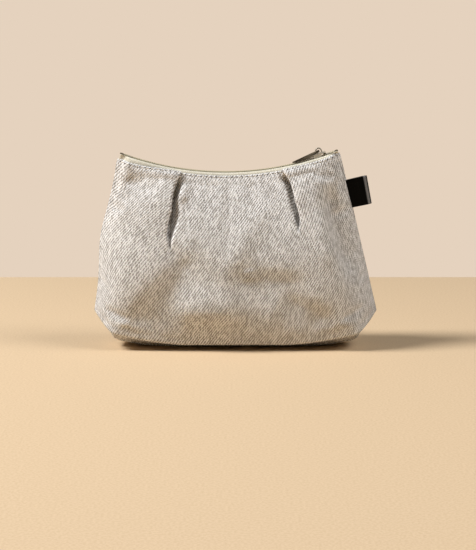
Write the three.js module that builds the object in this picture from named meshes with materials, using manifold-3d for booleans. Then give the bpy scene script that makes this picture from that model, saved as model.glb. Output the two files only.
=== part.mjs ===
// Pleated zip pouch: two pleated cloth walls on a boxed base, a lining, a coil zip with its
// slider and pull, and a folded leather tab in the right side seam.
// Millimetres, +Z up, +X to the right seen from the front, front towards -Y, ground at Z = 0.
import * as THREE from 'three';
import { mergeVertices } from 'three/addons/utils/BufferGeometryUtils.js';
import Module from 'manifold-3d';

const wasm = await Module();
wasm.setup();

// Body
const BASE_LENGTH = 166; // base from corner to corner
const BASE_DEPTH = 50; // base from its front seam to its back seam
const BASE_EDGE_RISE = 3.8; // base seam above the ground, at its middle
const BASE_BOW = 7; // and how much higher it is at the corners
const BOW_FROM = 35; // where it starts to lift, from the middle
const STANDING_DEPTH = 14; // flat strip that the pouch stands on
const STANDING_LENGTH = 100;
const BASE_END_LIFT = 5; // underside of the base above the ground, at the corners
const BASE_SHELF = 0.75; // share of the half depth inside the strip that turns up to the seams
const SEAM_FOOT_SPAN = 193.2; // between the lower ends of the side seams
const SEAM_FOOT_RISE = 19.8; // lower ends of the side seams above the base seam
const CORNER_ROUNDING = 10; // length of base seam that bends into each boxed corner
const CORNER_FULLNESS = 0.6; // swell of the boxed corners past a straight flap
const BELLY = 15; // swell of each wall past a straight line
const BELLY_SKEW = 0.9; // below 1 the swell sits low on the wall
const LEFT_FULLNESS = 3.4; // swell of the left side seam
const LEFT_FULLNESS_HEIGHT = 60; // its middle above the base seam
const LEFT_FULLNESS_REACH = 25; // and how far it reaches up and down
const MOUTH_LEFT = 79.3; // top corners from the middle of the base
const MOUTH_RIGHT = 70.4;
const MOUTH_GAP = 15; // between the two cloth edges along the zip
const MOUTH_CLOSING = 5.5; // length over which those edges meet at each end
const CLOTH = 1.2; // thickness of the outer cloth
const LINING = 0.7; // thickness of the lining
const LAYER_GAP = 0.3; // air between neighbouring layers and pieces
const LINING_INSET = 6; // lining edge from the side seams
const LINING_SLACK = 4.8; // lining hangs this much further in than at its edges
const SLACK_FROM_MOUTH = 25; // lengths over which it leaves the cloth
const SLACK_FROM_BASE = 17;
const LINING_FOOT = 4.5; // wall lining above the base seam
const LINING_HEAD = 2; // wall lining below the cloth edge at the mouth
const SEAM_SETBACK = 1.3; // wall edge above the base seam line

// Pleats, one each side of the middle, folded so that the outer part laps over the middle
const LEFT_PLEAT = { mouth: 31.8, foot: 40.5, length: 51 }; // fold from the middle at its two ends
const RIGHT_PLEAT = { mouth: 35.3, foot: 43, length: 37 };
const PLEAT_LAP = 5.5; // cloth folded under at the top edge
const PLEAT_PUFF = 1.5; // more radius in the bends where the fold stands open
const PLEAT_LIFT = 0.65; // share of an open fold that stands proud of the wall, the rest is sunk
const PLEAT_SEWN = 6; // top length that lies flat under the topstitching
const PLEAT_OPENING = 10; // length over which it opens below that
const PLEAT_OUTER_FADE = 24; // widths over which both sides settle back
const PLEAT_INNER_FADE = 8.5;

// Soft creases across the filled walls: ends at x, z on the wall, half width and depth
const CREASES = [
  { from: [-52, 122], to: [-86, 108], width: 7, depth: 2.4 },
  { from: [69, 104], to: [81, 50], width: 7, depth: 3 },
  { from: [-30, 66], to: [-80, 14], width: 8, depth: 3.4 },
  { from: [6, 56], to: [56, 54], width: 8, depth: 2.4 },
  { from: [30, 38], to: [66, 20], width: 7, depth: 2.6 },
];
const CREASE_FADE = 16; // they fade over this length towards the sewn edges

// Zip
const ZIP_RADIUS = 205; // the mouth dips in an arc
const ZIP_LOW_LEFT = 7.2; // its lowest point, left of the middle of the base
const ZIP_DIP_HEIGHT = 119.3; // tape above the ground at the middle of the arc
const TAPE = 0.5; // thickness of the tape
const TAPE_DROP = 2.2; // cloth edge below the tape at the coil, in the middle
const TAPE_DROP_ENDS = 3.6; // and at the top corners
const TAPE_DROP_FROM = 38; // where it starts to drop, from the middle of the mouth
const TAPE_SEAM = 5; // tape sewn in below the cloth edge
const TAPE_FLAT = 4.4; // flat part of each tape, from the middle
const TAPE_EDGE = 1; // inner tape edge from the middle
const TAPE_TAIL = 1.5; // tape past the stops
const COIL_BACK = 2.1; // outer edge of a closed coil half from the middle
const COIL_ROOT = 0.9; // foot of its teeth from the middle
const COIL_REACH = 0.5; // tip of its teeth past the middle
const COIL_HEIGHT = 1.4;
const TOOTH_PITCH = 2.5;
const TOOTH_ROOT = 0.95; // tooth width at its foot
const TOOTH_TIP = 0.7; // tooth width at its tip
const STOP_INSET = 8.5; // stops from the top corners, along the zip
const STOP_LENGTH = 2;
const STOP_GRIP = 1.3; // tape held inside a stop
const STOP_WALL = 0.6;

// Slider, crown and pull
const SLIDER_LENGTH = 8.6;
const SLIDER_WALL = 0.8; // top and bottom plates
const RAIL_WALL = 0.6; // side rails that hold the coil
const POST_LENGTH = 1.7;
const POST_WIDTH = 1.1;
const CROWN_INNER_RADIUS = 1.5;
const CROWN_WALL = 0.9;
const CROWN_WIDTH = 1.5;
const PULL_LENGTH = 20;
const PULL_END_WIDTH = 5.6;
const PULL_EYE_LENGTH = 2.5;
const PULL_EYE_SIDE = 0.45; // air between the crown and each side of the eye
const PULL_BAR = 1.2; // square bar under the crown, also the pull's thickness

// Leather tab
const TAB_LENGTH = 14.2; // out of the side seam
const TAB_HEIGHT = 19.5;
const TAB_LEATHER = 1.3;
const TAB_FOLD_GAP = 0.5; // between its two layers at the seam
const TAB_LOOP = 5.6; // across the rounded end of the fold
const TAB_BELOW_CORNER = 26.7; // its middle, down the seam from the top corner

// Fineness of the meshes
const WALL_ROWS = 12;
const CORNER_STEPS = 3;
const SIDE_STEPS = 6;
const MIDDLE_STEPS = 5;
const FOLD_STEPS = 3;
const LINING_ROWS = 7;
const LINING_STEPS = 18;
const BASE_ROWS = 8;
const BASE_STEPS = 8;
const BASE_END_STEPS = 8;
const TAB_STEPS = 5;
const TAPE_STEPS = 26;

// Sizes that follow from the ones above
const halfBase = BASE_LENGTH / 2;
const flapRun = SEAM_FOOT_SPAN / 2 - halfBase;
const flapLength = Math.hypot(flapRun, SEAM_FOOT_RISE, BASE_DEPTH / 2);
const halfEdge = halfBase + flapLength;
const cornerAt = halfBase / halfEdge;
const seamY = CLOTH / 2 + LAYER_GAP;
const zipCentreZ = ZIP_DIP_HEIGHT + ZIP_RADIUS;
const mouthStart = -ZIP_RADIUS * Math.asin((MOUTH_LEFT - ZIP_LOW_LEFT) / ZIP_RADIUS);
const mouthEnd = ZIP_RADIUS * Math.asin((MOUTH_RIGHT + ZIP_LOW_LEFT) / ZIP_RADIUS);
const mouthMiddle = (mouthStart + mouthEnd) / 2;
const halfMouth = (mouthEnd - mouthStart) / 2;
const bottomStopAt = mouthStart + STOP_INSET;
const topStopAt = mouthEnd - STOP_INSET;
const coilStart = bottomStopAt + LAYER_GAP;
const coilEnd = topStopAt - LAYER_GAP;
const sliderAt = coilEnd - SLIDER_LENGTH / 2;
const tapeStart = bottomStopAt - STOP_LENGTH - TAPE_TAIL;
const tapeEnd = topStopAt + STOP_LENGTH + TAPE_TAIL;
const tapeInset = CLOTH / 2 + LAYER_GAP + TAPE / 2;
const liningInset = tapeInset + TAPE / 2 + LAYER_GAP + LINING / 2;
const coilFoot = TAPE / 2 + LAYER_GAP;
const coilTop = coilFoot + COIL_HEIGHT;
const coilSpread = COIL_REACH + POST_WIDTH / 2 + LAYER_GAP;
const plateFoot = coilTop + LAYER_GAP;
const plateTop = plateFoot + SLIDER_WALL;
const pullAxisUp = plateTop + LAYER_GAP + PULL_BAR * Math.SQRT1_2 + LAYER_GAP;

const smooth = (t) => THREE.MathUtils.smoothstep(t, 0, 1);
const { lerp, clamp } = THREE.MathUtils;

// A point on the zip's arc: distance along it from its lowest point, depth, and height above the tape
function onZip(along, y, up) {
  const angle = along / ZIP_RADIUS;
  const radius = ZIP_RADIUS - up;
  const x = radius * Math.sin(angle) - ZIP_LOW_LEFT;
  return new THREE.Vector3(x, y, zipCentreZ - radius * Math.cos(angle));
}

// 0 along the straight base seam, 1 at the foot of the side seam, with the corner rounded
function cornerRamp(a) {
  const rounding = CORNER_ROUNDING / 2 / halfEdge;
  const past = a - cornerAt;
  if (past <= -rounding) return 0;
  if (past >= rounding) return past / (1 - cornerAt);
  return (past + rounding) ** 2 / (4 * rounding) / (1 - cornerAt);
}

// Seam between the front wall and the base; u runs from -1 at the left to 1 at the right
function baseSeam(u) {
  const ramp = cornerRamp(Math.abs(u));
  const x = halfEdge * Math.abs(u) - (halfEdge - halfBase - flapRun) * ramp;
  const y = -lerp(BASE_DEPTH / 2, seamY, ramp);
  const bow = BASE_BOW * clamp((x - BOW_FROM) / (halfBase - BOW_FROM), 0, 1) ** 1.5;
  const rise = BASE_EDGE_RISE + lerp(bow, SEAM_FOOT_RISE, ramp);
  const full = CORNER_FULLNESS * Math.sin(Math.PI * Math.min(ramp, 1));
  return new THREE.Vector3(Math.sign(u) * (x + full), y, CLOTH / 2 + rise - full / 2);
}

// Top edge of the front wall, beside the zip
function mouthEdge(u) {
  const toMiddle = Math.abs(u) * halfMouth;
  const closing = smooth((toMiddle - halfMouth + MOUTH_CLOSING) / MOUTH_CLOSING);
  const y = -lerp(MOUTH_GAP / 2 + CLOTH / 2, seamY, closing);
  const ends = smooth((toMiddle - TAPE_DROP_FROM) / (halfMouth - TAPE_DROP_FROM));
  return onZip(mouthMiddle + u * halfMouth, y, -lerp(TAPE_DROP, TAPE_DROP_ENDS, ends));
}

const wallHeight = mouthEdge(0).distanceTo(baseSeam(0));

// Middle of the front wall's cloth; v runs from 0 at the base seam to 1 at the mouth
function wallPoint(u, v) {
  const point = baseSeam(u).lerp(mouthEdge(u), v);
  point.y -= BELLY * Math.sin(Math.PI * Math.max(v, 0) ** BELLY_SKEW) * (1 - u ** 4);
  const offHeight = (v * wallHeight - LEFT_FULLNESS_HEIGHT) / LEFT_FULLNESS_REACH;
  point.x -= LEFT_FULLNESS * Math.exp(-(offHeight ** 2)) * Math.max(-u, 0) ** 2;
  return point;
}

function wallFrame(u, v) {
  const step = 0.002;
  const across = wallPoint(u + step, v).sub(wallPoint(u - step, v));
  const up = wallPoint(u, v + step).sub(wallPoint(u, v - step));
  const stretch = across.length() / (2 * step);
  const out = across.clone().cross(up).normalize();
  return { out, stretch };
}

function insideWall(u, v, inset) {
  return wallPoint(u, v).addScaledVector(wallFrame(u, v).out, -inset);
}

function spaced(from, to, steps) {
  return Array.from({ length: steps + 1 }, (_, i) => lerp(from, to, i / steps));
}

// A pleat cut across, at a share of its length: the cloth turns under through one bend, runs back
// for the lap and turns forward again. Returns its points from the outer part to the middle part,
// as distance towards the middle from the fold's edge and height above the wall.
function pleatSection(share, below) {
  const left = Math.max(1 - share, 0);
  const turn = Math.PI * left ** 0.55;
  const lap = PLEAT_LAP * left ** 1.6;
  const puff = PLEAT_PUFF * Math.sin(Math.PI * Math.min(share, 1) ** 0.9);
  const layer = (CLOTH + LAYER_GAP) / 2;
  const outerStep = Math.PI * (layer + puff) / FOLD_STEPS;
  const innerStep = Math.PI * (layer + 0.4 * puff) / FOLD_STEPS;
  const points = [new THREE.Vector2(0, 0)];
  const walk = (heading, length) => {
    const last = points[points.length - 1];
    const move = new THREE.Vector2(Math.cos(heading), -Math.sin(heading)).multiplyScalar(length);
    points.push(last.clone().add(move));
  };
  for (let i = 0; i < FOLD_STEPS; i += 1) walk(turn * (i + 0.5) / FOLD_STEPS, outerStep);
  walk(turn, lap + LAYER_GAP);
  for (let i = FOLD_STEPS - 1; i >= 0; i -= 1) walk(turn * (i + 0.5) / FOLD_STEPS, innerStep);
  const edge = Math.max(...points.map((p) => p.x));
  const depth = -points[points.length - 1].y;
  const lifted = depth * lerp(1, PLEAT_LIFT, smooth((below - PLEAT_SEWN) / PLEAT_OPENING));
  return points.map((p) => new THREE.Vector2(p.x - edge, p.y + lifted));
}

// How far the creases sink the wall at a point
function creaseDepth(u, v) {
  const { x, z } = wallPoint(u, v);
  const clear = (Math.min(v, 1 - v) * wallHeight - TAPE_SEAM) / CREASE_FADE;
  const depths = CREASES.map(({ from, to, width, depth }) => {
    const way = new THREE.Vector2(to[0] - from[0], to[1] - from[1]);
    const here = new THREE.Vector2(x - from[0], z - from[1]);
    const along = here.dot(way) / way.lengthSq();
    const away = here.cross(way) / way.length();
    return depth * smooth(1.5 - 3 * Math.abs(along - 0.5)) * Math.exp(-((away / width) ** 2));
  });
  return depths.reduce((sum, depth) => sum + depth, 0) * smooth(clear) * (1 - u ** 8);
}

// One row of the pleated wall at height v
function pleatedRow(v) {
  const below = (1 - v) * wallHeight;
  const place = (u, height) => {
    const { out } = wallFrame(u, v);
    return wallPoint(u, v).addScaledVector(out, height - creaseDepth(u, v));
  };
  const half = (side, pleat) => {
    const share = below / pleat.length;
    const section = pleatSection(share, below);
    const edge = lerp(pleat.foot, pleat.mouth, Math.max(1 - share, 0) ** 2);
    const { stretch } = wallFrame(side * edge / halfMouth, v);
    const fold = section.map((p) => edge - p.x);
    const outerEnd = Math.max(...fold) + CLOTH / 2;
    const innerEnd = Math.min(...fold) - CLOTH / 2;
    const outerLift = section[0].y;
    const innerLift = section[section.length - 1].y;
    const closingU = 1 - MOUTH_CLOSING / halfMouth;
    const outer = [
      ...spaced(1, closingU, CORNER_STEPS),
      ...spaced(closingU, outerEnd / stretch, SIDE_STEPS).slice(1),
    ];
    const inner = spaced(0, 1, MIDDLE_STEPS).map((t) => lerp(innerEnd, 0, t ** 1.25));
    const outerFade = (u) => smooth((u * stretch - outerEnd) / PLEAT_OUTER_FADE);
    const innerFade = (a) => smooth((innerEnd - a) / PLEAT_INNER_FADE);
    return [
      ...outer.map((u) => place(side * u, outerLift * (1 - outerFade(u)))),
      ...section.map((p, i) => place(side * fold[i] / stretch, p.y)),
      ...inner.map((a) => place(side * a / stretch, innerLift * (1 - innerFade(a)))),
    ];
  };
  return [...half(-1, LEFT_PLEAT), ...half(1, RIGHT_PLEAT).reverse().slice(1)];
}

// A closed solid from a grid of points: each point moves half the thickness to both sides
function sheet(grid, thickness) {
  const rows = grid.length;
  const columns = grid[0].length;
  const positions = [];
  const normalAt = (r, c) => {
    const across = grid[r][Math.min(c + 1, columns - 1)].clone().sub(grid[r][Math.max(c - 1, 0)]);
    const up = grid[Math.min(r + 1, rows - 1)][c].clone().sub(grid[Math.max(r - 1, 0)][c]);
    return across.cross(up).normalize();
  };
  for (const side of [0.5, -0.5]) {
    for (let r = 0; r < rows; r += 1) {
      for (let c = 0; c < columns; c += 1) {
        const point = grid[r][c].clone().addScaledVector(normalAt(r, c), side * thickness);
        positions.push(point.x, point.y, point.z);
      }
    }
  }
  const outer = (r, c) => r * columns + c;
  const inner = (r, c) => rows * columns + r * columns + c;
  const index = [];
  const quad = (a, b, c, d) => index.push(a, b, c, a, c, d);
  for (let r = 0; r < rows - 1; r += 1) {
    for (let c = 0; c < columns - 1; c += 1) {
      quad(outer(r, c), outer(r, c + 1), outer(r + 1, c + 1), outer(r + 1, c));
      quad(inner(r, c), inner(r + 1, c), inner(r + 1, c + 1), inner(r, c + 1));
    }
  }
  const last = { r: rows - 1, c: columns - 1 };
  for (let c = 0; c < last.c; c += 1) {
    quad(outer(0, c), inner(0, c), inner(0, c + 1), outer(0, c + 1));
    quad(outer(last.r, c), outer(last.r, c + 1), inner(last.r, c + 1), inner(last.r, c));
  }
  for (let r = 0; r < last.r; r += 1) {
    quad(outer(r, 0), outer(r + 1, 0), inner(r + 1, 0), inner(r, 0));
    quad(outer(r, last.c), inner(r, last.c), inner(r + 1, last.c), outer(r + 1, last.c));
  }
  const geometry = new THREE.BufferGeometry();
  geometry.setAttribute('position', new THREE.Float32BufferAttribute(positions, 3));
  geometry.setIndex(index);
  return geometry;
}

// The same grid on the other side of the pouch, with its faces still pointing out
function acrossMiddle(grid) {
  return grid.map((row) => row.map((p) => new THREE.Vector3(p.x, -p.y, p.z)).reverse());
}

// Outer cloth and lining
function panelGrid() {
  const foot = SEAM_SETBACK / wallHeight;
  return spaced(0, 1, WALL_ROWS).map((t) => pleatedRow(lerp(1, foot, (1 - t) ** 1.25)));
}

function liningSlack(u, v) {
  const fromMouth = smooth((1 - v) * wallHeight / SLACK_FROM_MOUTH);
  const fromBase = smooth(v * wallHeight / SLACK_FROM_BASE);
  return LINING_SLACK * fromMouth * fromBase * (1 - u ** 2);
}

function wallLiningGrid() {
  const foot = LINING_FOOT / wallHeight;
  const head = 1 - LINING_HEAD / wallHeight;
  const side = 1 - LINING_INSET / halfMouth;
  return spaced(foot, head, LINING_ROWS).map((v) => (
    spaced(-side, side, LINING_STEPS).map((u) => insideWall(u, v, liningInset + liningSlack(u, v)))
  ));
}

// Middle of the base cloth; t runs from -1 at the front seam to 1 at the back seam. It is flat in
// the strip that the pouch stands on, curls up to a shelf and joins the bowed seams at its edges.
function basePoint(u, t) {
  const seam = baseSeam(u);
  const y = -seam.y * t;
  const beyond = Math.max(Math.abs(y) - STANDING_DEPTH / 2, 0);
  const edge = Math.max(-seam.y - STANDING_DEPTH / 2, CLOTH);
  const curl = 1 - (1 - Math.min(beyond / edge, 1)) ** 1.7;
  const halfStanding = STANDING_LENGTH / 2;
  const end = clamp((Math.abs(seam.x) - halfStanding) / (halfBase - halfStanding), 0, 1);
  const floor = CLOTH / 2 + BASE_END_LIFT * end ** 2;
  const shelf = Math.max(CLOTH / 2 + BASE_EDGE_RISE, floor);
  const turnUp = Math.max(Math.abs(t) - BASE_SHELF, 0) / (1 - BASE_SHELF);
  const z = lerp(floor, shelf, curl) + (seam.z - shelf) * turnUp;
  return new THREE.Vector3(seam.x, y, lerp(z, seam.z, smooth(cornerRamp(Math.abs(u)) * 4)));
}

function aboveBase(u, t, rise) {
  const step = 0.002;
  const along = basePoint(u + step, t).sub(basePoint(u - step, t));
  const across = basePoint(u, t + step).sub(basePoint(u, t - step));
  return basePoint(u, t).addScaledVector(along.cross(across).normalize(), rise);
}

// Base sheet at a height above the base cloth, with its edge set in from the seams. Every sheet
// has its columns at the same places, so that the facets of one lie along those of the other.
function baseGrid(rise, sideInset, endInset) {
  const bend = cornerAt - CORNER_ROUNDING / 2 / halfEdge;
  const flat = spaced(-bend, bend, BASE_STEPS);
  const rising = spaced(bend, 1, BASE_END_STEPS).slice(1);
  const everywhere = [...rising.map((u) => -u).reverse(), ...flat, ...rising];
  const columns = everywhere.filter((u) => Math.abs(u) <= 1 - endInset / halfEdge);
  const halfAt = (u) => -baseSeam(u).y / (sideInset - baseSeam(u).y);
  return spaced(-1, 1, BASE_ROWS).map((t) => columns.map((u) => aboveBase(u, t * halfAt(u), rise)));
}

// Zip tape of the front half, from its sewn-in edge up and over to the coil
function coilOpening(along) {
  return coilSpread * smooth((along - sliderAt + 1) / (SLIDER_LENGTH / 2));
}

function tapeGrid() {
  const seamFoot = 1 - TAPE_SEAM / wallHeight;
  const columns = spaced(tapeStart, tapeEnd, TAPE_STEPS);
  const sewn = (along, v) => insideWall((along - mouthMiddle) / halfMouth, v, tapeInset);
  const flat = (along) => onZip(along, -TAPE_FLAT, 0);
  return [
    columns.map((along) => sewn(along, seamFoot)),
    columns.map((along) => sewn(along, 1)),
    columns.map((along) => sewn(along, 1).lerp(flat(along), 0.6).addScaledVector(
      new THREE.Vector3(0, 0, 1), TAPE_DROP / 5)),
    columns.map(flat),
    columns.map((along) => onZip(along, -TAPE_EDGE - coilOpening(along), 0)),
  ];
}

// Coil of one half: a bead along the tape with teeth that mesh with the other half
function coilGrid(shift) {
  const middleUp = coilFoot + COIL_HEIGHT / 2;
  const bead = [];
  const teeth = [];
  const add = (along, reach) => {
    const opening = coilOpening(along);
    bead.push(onZip(along, -COIL_BACK - opening, middleUp));
    teeth.push(onZip(along, reach - opening, middleUp));
  };
  const count = Math.floor((coilEnd - coilStart - TOOTH_PITCH) / TOOTH_PITCH);
  const first = (coilStart + coilEnd - count * TOOTH_PITCH) / 2;
  add(coilStart, -COIL_ROOT);
  for (let i = 0; i < count; i += 1) {
    const at = first + (i + shift) * TOOTH_PITCH;
    add(at - TOOTH_ROOT / 2, -COIL_ROOT);
    add(at - TOOTH_TIP / 2, COIL_REACH);
    add(at + TOOTH_TIP / 2, COIL_REACH);
    add(at + TOOTH_ROOT / 2, -COIL_ROOT);
  }
  add(coilEnd, -COIL_ROOT);
  return [bead, teeth];
}

// Joining solids
function solid(geometry) {
  const bare = geometry.clone();
  bare.deleteAttribute('normal');
  bare.deleteAttribute('uv');
  const merged = mergeVertices(bare);
  return new wasm.Manifold(new wasm.Mesh({
    numProp: 3,
    vertProperties: new Float32Array(merged.attributes.position.array),
    triVerts: new Uint32Array(merged.index.array),
  }));
}

function geometryOf(manifold) {
  const mesh = manifold.getMesh();
  const geometry = new THREE.BufferGeometry();
  geometry.setAttribute('position', new THREE.BufferAttribute(mesh.vertProperties, 3));
  geometry.setIndex(new THREE.BufferAttribute(mesh.triVerts, 1));
  return geometry;
}

function extruded(shape, depth, curveSegments = 6) {
  return new THREE.ExtrudeGeometry(shape, { depth, bevelEnabled: false, curveSegments });
}

function outline(points) {
  return new THREE.Shape(points.map(([x, y]) => new THREE.Vector2(x, y)));
}

// Slider, in a frame with X along the zip, Z away from the tape and its nose at +X
const railInnerTail = COIL_BACK + LAYER_GAP;
const railInnerNose = COIL_BACK + coilSpread + LAYER_GAP;
const shoulderAt = SLIDER_LENGTH / 8;

function sliderPlate() {
  const tail = -SLIDER_LENGTH / 2;
  const nose = SLIDER_LENGTH / 2;
  const tailHalf = railInnerTail + RAIL_WALL;
  const noseHalf = railInnerNose + RAIL_WALL;
  const shape = new THREE.Shape();
  shape.moveTo(tail, -tailHalf);
  shape.quadraticCurveTo(-shoulderAt, -tailHalf, shoulderAt, -noseHalf);
  shape.quadraticCurveTo(nose, -noseHalf, nose, -POST_WIDTH);
  shape.lineTo(nose, POST_WIDTH);
  shape.quadraticCurveTo(nose, noseHalf, shoulderAt, noseHalf);
  shape.quadraticCurveTo(-shoulderAt, tailHalf, tail, tailHalf);
  return shape;
}

function sliderRail(side) {
  const tail = -SLIDER_LENGTH / 2;
  return outline([
    [tail, side * railInnerTail],
    [-shoulderAt, side * railInnerTail],
    [shoulderAt, side * railInnerNose],
    [shoulderAt, side * (railInnerNose + RAIL_WALL)],
    [-shoulderAt, side * (railInnerTail + RAIL_WALL)],
    [tail, side * (railInnerTail + RAIL_WALL)],
  ]);
}

function sliderGeometry() {
  const plate = extruded(sliderPlate(), SLIDER_WALL);
  const bottomFoot = -coilFoot - SLIDER_WALL;
  const nose = SLIDER_LENGTH / 2;
  const post = outline([
    [nose - POST_LENGTH, 0],
    [nose - POST_LENGTH / 2, -POST_WIDTH / 2],
    [nose, -POST_WIDTH / 2],
    [nose, POST_WIDTH / 2],
    [nose - POST_LENGTH / 2, POST_WIDTH / 2],
  ]);
  let body = solid(plate.clone().translate(0, 0, plateFoot));
  body = body.add(solid(plate.clone().translate(0, 0, bottomFoot)));
  const postHeight = plateTop - bottomFoot - SLIDER_WALL;
  body = body.add(solid(extruded(post, postHeight).translate(0, 0, bottomFoot + SLIDER_WALL / 2)));
  for (const side of [-1, 1]) {
    const railHeight = plateFoot + SLIDER_WALL / 2 - coilFoot;
    body = body.add(solid(extruded(sliderRail(side), railHeight).translate(0, 0, coilFoot)));
  }
  return geometryOf(body);
}

// Crown: an arch over the pull's bar, standing on the slider's top plate
function crownGeometry() {
  const foot = plateTop + LAYER_GAP - pullAxisUp;
  const outerRadius = CROWN_INNER_RADIUS + CROWN_WALL;
  const arch = new THREE.Shape();
  arch.moveTo(-outerRadius, foot);
  arch.lineTo(-outerRadius, 0);
  arch.absarc(0, 0, outerRadius, Math.PI, 0, true);
  arch.lineTo(outerRadius, foot);
  arch.lineTo(CROWN_INNER_RADIUS, foot);
  arch.lineTo(CROWN_INNER_RADIUS, 0);
  arch.absarc(0, 0, CROWN_INNER_RADIUS, 0, Math.PI, false);
  arch.lineTo(-CROWN_INNER_RADIUS, foot);
  const geometry = extruded(arch, CROWN_WIDTH, 10).translate(0, 0, -CROWN_WIDTH / 2);
  return geometry.rotateX(Math.PI / 2);
}

// Pull: a flat tongue that lies towards -X, with an eye round the crown
function pullGeometry() {
  const bar = PULL_BAR / 2;
  const eyeHalf = CROWN_WIDTH / 2 + PULL_EYE_SIDE;
  const neckHalf = eyeHalf + PULL_BAR * 0.75;
  const endHalf = PULL_END_WIDTH / 2;
  const end = bar - PULL_LENGTH;
  const waist = -bar - PULL_EYE_LENGTH - PULL_BAR;
  const tongue = new THREE.Shape();
  tongue.moveTo(bar, -neckHalf);
  tongue.lineTo(bar, neckHalf);
  tongue.lineTo(waist, neckHalf);
  tongue.quadraticCurveTo((waist + end) / 2, neckHalf, end + endHalf, endHalf);
  tongue.absarc(end + endHalf, 0, endHalf, Math.PI / 2, Math.PI * 1.5, false);
  tongue.quadraticCurveTo((waist + end) / 2, -neckHalf, waist, -neckHalf);
  const eye = outline([
    [-bar, -eyeHalf],
    [-bar - PULL_EYE_LENGTH, -eyeHalf],
    [-bar - PULL_EYE_LENGTH, eyeHalf],
    [-bar, eyeHalf],
  ]);
  tongue.holes.push(eye);
  return extruded(tongue, PULL_BAR).translate(0, 0, -PULL_BAR / 2);
}

// Stops: crimped clips whose jaws hold the tape from both sides
function clipShape(edge, side) {
  const jaw = TAPE / 2 + LAYER_GAP;
  const back = side * (edge - LAYER_GAP - STOP_WALL);
  const slot = side * (edge - LAYER_GAP);
  const tip = side * (edge + STOP_GRIP);
  return outline([
    [back, -jaw - STOP_WALL], [tip, -jaw - STOP_WALL], [tip, -jaw], [slot, -jaw],
    [slot, jaw], [tip, jaw], [tip, jaw + STOP_WALL], [back, jaw + STOP_WALL],
  ]);
}

function bridgeShape() {
  const jaw = TAPE / 2 + LAYER_GAP;
  const slot = TAPE_EDGE - LAYER_GAP;
  const tip = TAPE_EDGE + STOP_GRIP;
  return outline([
    [-tip, -jaw - STOP_WALL], [tip, -jaw - STOP_WALL], [tip, -jaw], [slot, -jaw],
    [slot, jaw], [tip, jaw], [tip, jaw + STOP_WALL], [-tip, jaw + STOP_WALL],
    [-tip, jaw], [-slot, jaw], [-slot, -jaw], [-tip, -jaw],
  ]);
}

function alongZip(shape, length) {
  const turn = new THREE.Matrix4().makeBasis(
    new THREE.Vector3(0, 1, 0), new THREE.Vector3(0, 0, 1), new THREE.Vector3(1, 0, 0));
  return extruded(shape, length).applyMatrix4(turn);
}

// Leather tab: one strip folded in half into a rounded loop, with both ends at the side seam
function tabGeometry() {
  const closed = (TAB_FOLD_GAP + TAB_LEATHER) / 2;
  const radius = (TAB_LOOP - TAB_LEATHER) / 2;
  const bend = TAB_LENGTH - TAB_LOOP / 2;
  const layer = spaced(0, bend, TAB_STEPS).map((x) => (
    new THREE.Vector2(x, lerp(closed, radius, smooth(x / bend)))));
  const round = spaced(Math.PI / 2, 0, TAB_STEPS).slice(1).map((angle) => (
    new THREE.Vector2(bend + radius * Math.cos(angle), radius * Math.sin(angle))));
  const upper = [...layer, ...round];
  const middle = [...upper, ...upper.slice(0, -1).reverse().map((p) => new THREE.Vector2(p.x, -p.y))];
  const offset = (p, i, side) => {
    const before = middle[Math.max(i - 1, 0)];
    const after = middle[Math.min(i + 1, middle.length - 1)];
    const away = after.clone().sub(before).normalize();
    return new THREE.Vector2(p.x - side * away.y * TAB_LEATHER / 2, p.y + side * away.x * TAB_LEATHER / 2);
  };
  const outside = middle.map((p, i) => offset(p, i, 1));
  const inside = middle.map((p, i) => offset(p, i, -1));
  const strip = new THREE.Shape([...outside, ...inside.reverse()]);
  return extruded(strip, TAB_HEIGHT).translate(0, 0, -TAB_HEIGHT / 2);
}

// Materials
const finish = (color, roughness, metalness = 0) => (
  () => new THREE.MeshStandardMaterial({ color, roughness, metalness }));
const twill = finish(0xc9c1b6, 0.95);
const liningCloth = finish(0xd9cfbf, 0.9);
const tapeCloth = finish(0xd8cdbb, 0.85);
const coilPlastic = finish(0x8f8872, 0.5);
const castMetal = finish(0xb9b4aa, 0.35, 0.9);
const leather = finish(0x0d0c0b, 0.55);

const pouch = new THREE.Group();

function addPiece(name, geometry, material, parent = pouch) {
  const mesh = new THREE.Mesh(geometry, material());
  mesh.name = name;
  parent.add(mesh);
  return mesh;
}

// A group that stands on the zip's arc with X along the zip
function zipGroup(along, up = 0) {
  const group = new THREE.Group();
  group.position.copy(onZip(along, 0, up));
  group.rotation.y = -along / ZIP_RADIUS;
  pouch.add(group);
  return group;
}

// Cloth body
const panel = panelGrid();
addPiece('front_panel', sheet(panel, CLOTH), twill);
addPiece('back_panel', sheet(acrossMiddle(panel), CLOTH), twill);
addPiece('base_panel', sheet(baseGrid(0, 0, 0), CLOTH), twill);

// Lining
const wallLining = wallLiningGrid();
const baseLiningRise = CLOTH / 2 + 2 * LAYER_GAP + LINING / 2;
addPiece('front_lining', sheet(wallLining, LINING), liningCloth);
addPiece('back_lining', sheet(acrossMiddle(wallLining), LINING), liningCloth);
const baseLining = baseGrid(baseLiningRise, LINING_FOOT, 2 * LINING_INSET);
addPiece('base_lining', sheet(baseLining, LINING), liningCloth);

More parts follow.
